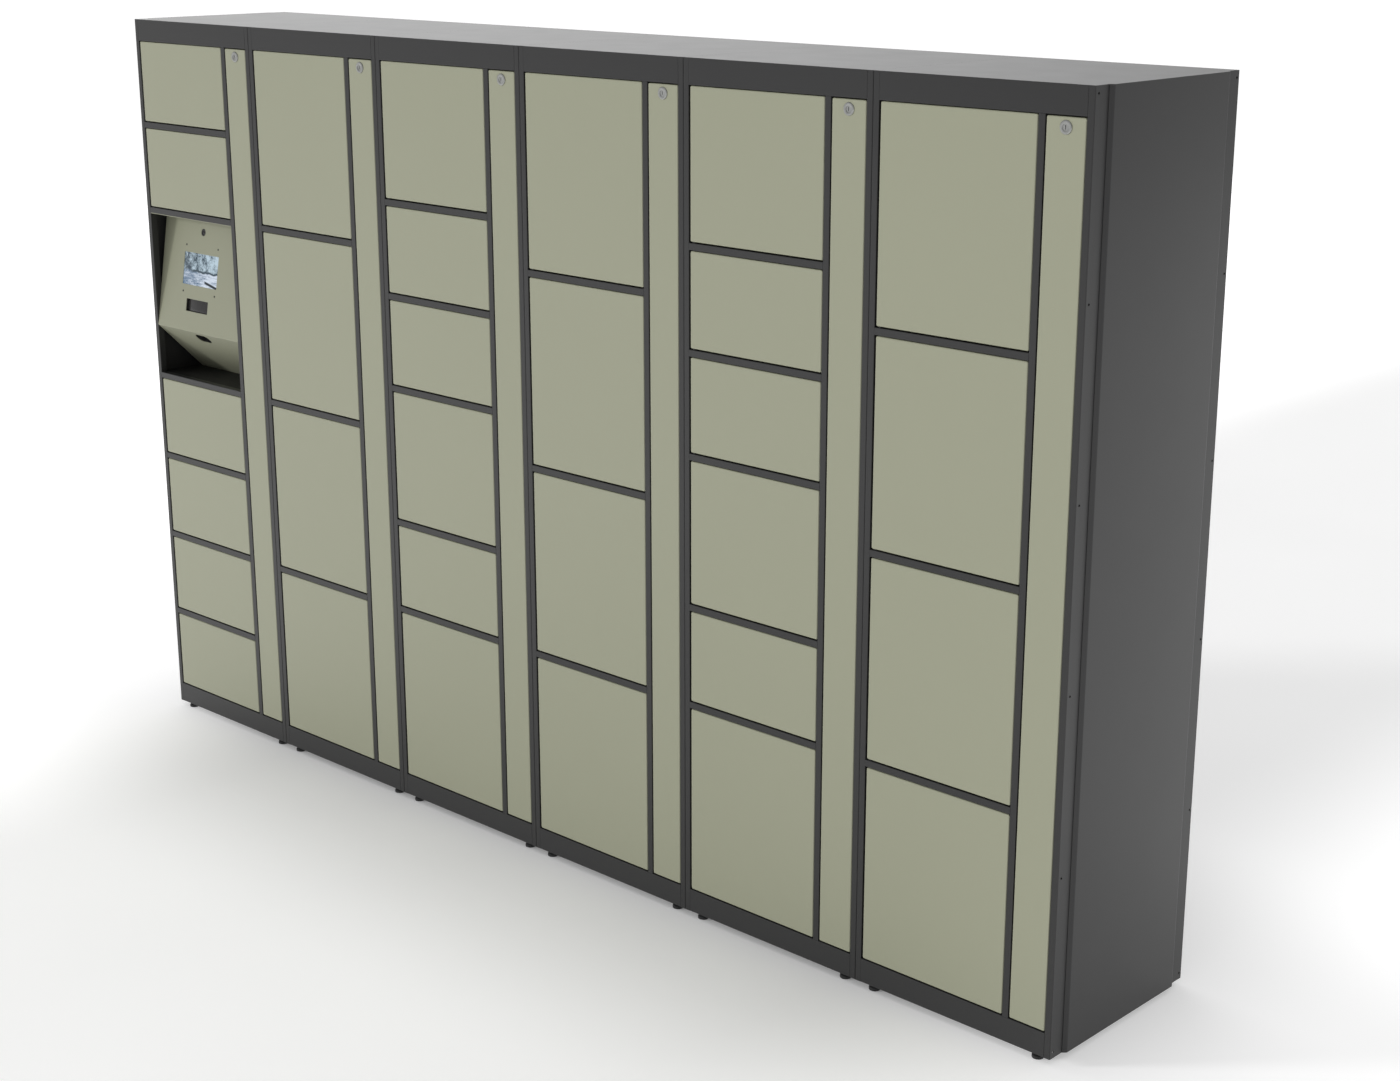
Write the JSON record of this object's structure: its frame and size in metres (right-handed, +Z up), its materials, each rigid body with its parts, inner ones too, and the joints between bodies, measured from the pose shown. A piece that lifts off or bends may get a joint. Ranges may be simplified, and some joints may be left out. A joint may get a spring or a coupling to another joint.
{
  "type": "parcel locker",
  "caption": "Bank of steel parcel compartments in six cabinets, with hinged doors of three heights, lift-out service panels and a built-in terminal with a screen.",
  "frame": {"origin": "middle of the footprint at floor level", "axes": "+X to the right as the user stands before the doors, +Y from the doors to the back, +Z up"},
  "size_m": [3.015, 0.486, 1.915],
  "materials": {
    "frame": "fine-textured satin powder coat, dark grey",
    "panels": "fine-textured satin powder coat, dark grey",
    "doors": "satin powder coat, sage green-grey",
    "terminal": "satin powder coat, sage green-grey",
    "nickel": "satin nickel plate",
    "zinc": "bright zinc plate",
    "dark_steel": "blackened steel, lightly oiled",
    "black_plastic": "moulded black plastic",
    "rubber": "black rubber",
    "display": "glossy display glass over a lit panel",
    "window": "dark glossy window"
  },
  "bodies": {
    "root": {"frame_uprights": "frame", "frame_rails": "frame", "side_walls": "panels", "partitions": "panels", "shelves": "panels", "top_and_floor_panels": "panels", "back_panels": "panels", "end_panels": "panels", "levelling_feet": "rubber", "hinge_pins": "dark_steel", "electric_locks": "black_plastic", "panel_fasteners": "zinc", "kiosk_shell": "terminal", "kiosk_display": "display", "kiosk_windows": "window", "kiosk_screws": "zinc", "control_unit": "black_plastic"},
    "door_c1_r1": {"door_c1_r1": "doors"},
    "door_c1_r2": {"door_c1_r2": "doors"},
    "door_c1_r3": {"door_c1_r3": "doors"},
    "door_c1_r4": {"door_c1_r4": "doors"},
    "door_c1_r6": {"door_c1_r6": "doors"},
    "door_c1_r7": {"door_c1_r7": "doors"},
    "door_c2_r1": {"door_c2_r1": "doors"},
    "door_c2_r2": {"door_c2_r2": "doors"},
    "door_c2_r3": {"door_c2_r3": "doors"},
    "door_c2_r4": {"door_c2_r4": "doors"},
    "door_c3_r1": {"door_c3_r1": "doors"},
    "door_c3_r2": {"door_c3_r2": "doors"},
    "door_c3_r3": {"door_c3_r3": "doors"},
    "door_c3_r4": {"door_c3_r4": "doors"},
    "door_c3_r5": {"door_c3_r5": "doors"},
    "door_c3_r6": {"door_c3_r6": "doors"},
    "door_c4_r1": {"door_c4_r1": "doors"},
    "door_c4_r2": {"door_c4_r2": "doors"},
    "door_c4_r3": {"door_c4_r3": "doors"},
    "door_c4_r4": {"door_c4_r4": "doors"},
    "door_c5_r1": {"door_c5_r1": "doors"},
    "door_c5_r2": {"door_c5_r2": "doors"},
    "door_c5_r3": {"door_c5_r3": "doors"},
    "door_c5_r4": {"door_c5_r4": "doors"},
    "door_c5_r5": {"door_c5_r5": "doors"},
    "door_c5_r6": {"door_c5_r6": "doors"},
    "door_c6_r1": {"door_c6_r1": "doors"},
    "door_c6_r2": {"door_c6_r2": "doors"},
    "door_c6_r3": {"door_c6_r3": "doors"},
    "door_c6_r4": {"door_c6_r4": "doors"},
    "service_panel_c1": {"service_panel_c1": "doors"},
    "cam_c1": {"cam_c1": "nickel"},
    "service_panel_c2": {"service_panel_c2": "doors"},
    "cam_c2": {"cam_c2": "nickel"},
    "service_panel_c3": {"service_panel_c3": "doors"},
    "cam_c3": {"cam_c3": "nickel"},
    "service_panel_c4": {"service_panel_c4": "doors"},
    "cam_c4": {"cam_c4": "nickel"},
    "service_panel_c5": {"service_panel_c5": "doors"},
    "cam_c5": {"cam_c5": "nickel"},
    "service_panel_c6": {"service_panel_c6": "doors"},
    "cam_c6": {"cam_c6": "nickel"}
  },
  "joints": [
    {"name": "door_c1_r1_hinge", "type": "hinge", "parent": "root", "child": "door_c1_r1", "pos_m": [-1.4745, -0.2345, 0.17438], "axis": [0, 0, -1], "range_deg": [0, 95]},
    {"name": "door_c1_r2_hinge", "type": "hinge", "parent": "root", "child": "door_c1_r2", "pos_m": [-1.4745, -0.2345, 0.40013], "axis": [0, 0, -1], "range_deg": [0, 95]},
    {"name": "door_c1_r3_hinge", "type": "hinge", "parent": "root", "child": "door_c1_r3", "pos_m": [-1.4745, -0.2345, 0.62587], "axis": [0, 0, -1], "range_deg": [0, 95]},
    {"name": "door_c1_r4_hinge", "type": "hinge", "parent": "root", "child": "door_c1_r4", "pos_m": [-1.4745, -0.2345, 0.85162], "axis": [0, 0, -1], "range_deg": [0, 95]},
    {"name": "door_c1_r6_hinge", "type": "hinge", "parent": "root", "child": "door_c1_r6", "pos_m": [-1.4745, -0.2345, 1.52887], "axis": [0, 0, -1], "range_deg": [0, 95]},
    {"name": "door_c1_r7_hinge", "type": "hinge", "parent": "root", "child": "door_c1_r7", "pos_m": [-1.4745, -0.2345, 1.75463], "axis": [0, 0, -1], "range_deg": [0, 95]},
    {"name": "door_c2_r1_hinge", "type": "hinge", "parent": "root", "child": "door_c2_r1", "pos_m": [-0.9745, -0.2345, 0.28725], "axis": [0, 0, -1], "range_deg": [0, 95]},
    {"name": "door_c2_r2_hinge", "type": "hinge", "parent": "root", "child": "door_c2_r2", "pos_m": [-0.9745, -0.2345, 0.73875], "axis": [0, 0, -1], "range_deg": [0, 95]},
    {"name": "door_c2_r3_hinge", "type": "hinge", "parent": "root", "child": "door_c2_r3", "pos_m": [-0.9745, -0.2345, 1.19025], "axis": [0, 0, -1], "range_deg": [0, 95]},
    {"name": "door_c2_r4_hinge", "type": "hinge", "parent": "root", "child": "door_c2_r4", "pos_m": [-0.9745, -0.2345, 1.64175], "axis": [0, 0, -1], "range_deg": [0, 95]},
    {"name": "door_c3_r1_hinge", "type": "hinge", "parent": "root", "child": "door_c3_r1", "pos_m": [-0.4745, -0.2345, 0.28725], "axis": [0, 0, -1], "range_deg": [0, 95]},
    {"name": "door_c3_r2_hinge", "type": "hinge", "parent": "root", "child": "door_c3_r2", "pos_m": [-0.4745, -0.2345, 0.62587], "axis": [0, 0, -1], "range_deg": [0, 95]},
    {"name": "door_c3_r3_hinge", "type": "hinge", "parent": "root", "child": "door_c3_r3", "pos_m": [-0.4745, -0.2345, 0.90806], "axis": [0, 0, -1], "range_deg": [0, 95]},
    {"name": "door_c3_r4_hinge", "type": "hinge", "parent": "root", "child": "door_c3_r4", "pos_m": [-0.4745, -0.2345, 1.19025], "axis": [0, 0, -1], "range_deg": [0, 95]},
    {"name": "door_c3_r5_hinge", "type": "hinge", "parent": "root", "child": "door_c3_r5", "pos_m": [-0.4745, -0.2345, 1.416], "axis": [0, 0, -1], "range_deg": [0, 95]},
    {"name": "door_c3_r6_hinge", "type": "hinge", "parent": "root", "child": "door_c3_r6", "pos_m": [-0.4745, -0.2345, 1.69819], "axis": [0, 0, -1], "range_deg": [0, 95]},
    {"name": "door_c4_r1_hinge", "type": "hinge", "parent": "root", "child": "door_c4_r1", "pos_m": [0.0255, -0.2345, 0.28725], "axis": [0, 0, -1], "range_deg": [0, 95]},
    {"name": "door_c4_r2_hinge", "type": "hinge", "parent": "root", "child": "door_c4_r2", "pos_m": [0.0255, -0.2345, 0.73875], "axis": [0, 0, -1], "range_deg": [0, 95]},
    {"name": "door_c4_r3_hinge", "type": "hinge", "parent": "root", "child": "door_c4_r3", "pos_m": [0.0255, -0.2345, 1.19025], "axis": [0, 0, -1], "range_deg": [0, 95]},
    {"name": "door_c4_r4_hinge", "type": "hinge", "parent": "root", "child": "door_c4_r4", "pos_m": [0.0255, -0.2345, 1.64175], "axis": [0, 0, -1], "range_deg": [0, 95]},
    {"name": "door_c5_r1_hinge", "type": "hinge", "parent": "root", "child": "door_c5_r1", "pos_m": [0.5255, -0.2345, 0.28725], "axis": [0, 0, -1], "range_deg": [0, 95]},
    {"name": "door_c5_r2_hinge", "type": "hinge", "parent": "root", "child": "door_c5_r2", "pos_m": [0.5255, -0.2345, 0.62587], "axis": [0, 0, -1], "range_deg": [0, 95]},
    {"name": "door_c5_r3_hinge", "type": "hinge", "parent": "root", "child": "door_c5_r3", "pos_m": [0.5255, -0.2345, 0.90806], "axis": [0, 0, -1], "range_deg": [0, 95]},
    {"name": "door_c5_r4_hinge", "type": "hinge", "parent": "root", "child": "door_c5_r4", "pos_m": [0.5255, -0.2345, 1.19025], "axis": [0, 0, -1], "range_deg": [0, 95]},
    {"name": "door_c5_r5_hinge", "type": "hinge", "parent": "root", "child": "door_c5_r5", "pos_m": [0.5255, -0.2345, 1.416], "axis": [0, 0, -1], "range_deg": [0, 95]},
    {"name": "door_c5_r6_hinge", "type": "hinge", "parent": "root", "child": "door_c5_r6", "pos_m": [0.5255, -0.2345, 1.69819], "axis": [0, 0, -1], "range_deg": [0, 95]},
    {"name": "door_c6_r1_hinge", "type": "hinge", "parent": "root", "child": "door_c6_r1", "pos_m": [1.0255, -0.2345, 0.28725], "axis": [0, 0, -1], "range_deg": [0, 95]},
    {"name": "door_c6_r2_hinge", "type": "hinge", "parent": "root", "child": "door_c6_r2", "pos_m": [1.0255, -0.2345, 0.73875], "axis": [0, 0, -1], "range_deg": [0, 95]},
    {"name": "door_c6_r3_hinge", "type": "hinge", "parent": "root", "child": "door_c6_r3", "pos_m": [1.0255, -0.2345, 1.19025], "axis": [0, 0, -1], "range_deg": [0, 95]},
    {"name": "door_c6_r4_hinge", "type": "hinge", "parent": "root", "child": "door_c6_r4", "pos_m": [1.0255, -0.2345, 1.64175], "axis": [0, 0, -1], "range_deg": [0, 95]},
    {"name": "service_panel_c1_tilt", "type": "hinge", "parent": "root", "child": "service_panel_c1", "pos_m": [-1.05875, -0.24, 0.07], "axis": [1, 0, 0], "range_deg": [0, 25]},
    {"name": "cam_c1_turn", "type": "hinge", "parent": "service_panel_c1", "child": "cam_c1", "pos_m": [-1.05875, -0.241, 1.8388], "axis": [0, 1, 0], "range_deg": [0, 90]},
    {"name": "service_panel_c2_tilt", "type": "hinge", "parent": "root", "child": "service_panel_c2", "pos_m": [-0.55875, -0.24, 0.07], "axis": [1, 0, 0], "range_deg": [0, 25]},
    {"name": "cam_c2_turn", "type": "hinge", "parent": "service_panel_c2", "child": "cam_c2", "pos_m": [-0.55875, -0.241, 1.8388], "axis": [0, 1, 0], "range_deg": [0, 90]},
    {"name": "service_panel_c3_tilt", "type": "hinge", "parent": "root", "child": "service_panel_c3", "pos_m": [-0.05875, -0.24, 0.07], "axis": [1, 0, 0], "range_deg": [0, 25]},
    {"name": "cam_c3_turn", "type": "hinge", "parent": "service_panel_c3", "child": "cam_c3", "pos_m": [-0.05875, -0.241, 1.8388], "axis": [0, 1, 0], "range_deg": [0, 90]},
    {"name": "service_panel_c4_tilt", "type": "hinge", "parent": "root", "child": "service_panel_c4", "pos_m": [0.44125, -0.24, 0.07], "axis": [1, 0, 0], "range_deg": [0, 25]},
    {"name": "cam_c4_turn", "type": "hinge", "parent": "service_panel_c4", "child": "cam_c4", "pos_m": [0.44125, -0.241, 1.8388], "axis": [0, 1, 0], "range_deg": [0, 90]},
    {"name": "service_panel_c5_tilt", "type": "hinge", "parent": "root", "child": "service_panel_c5", "pos_m": [0.94125, -0.24, 0.07], "axis": [1, 0, 0], "range_deg": [0, 25]},
    {"name": "cam_c5_turn", "type": "hinge", "parent": "service_panel_c5", "child": "cam_c5", "pos_m": [0.94125, -0.241, 1.8388], "axis": [0, 1, 0], "range_deg": [0, 90]},
    {"name": "service_panel_c6_tilt", "type": "hinge", "parent": "root", "child": "service_panel_c6", "pos_m": [1.44125, -0.24, 0.07], "axis": [1, 0, 0], "range_deg": [0, 25]},
    {"name": "cam_c6_turn", "type": "hinge", "parent": "service_panel_c6", "child": "cam_c6", "pos_m": [1.44125, -0.241, 1.8388], "axis": [0, 1, 0], "range_deg": [0, 90]}
  ]
}
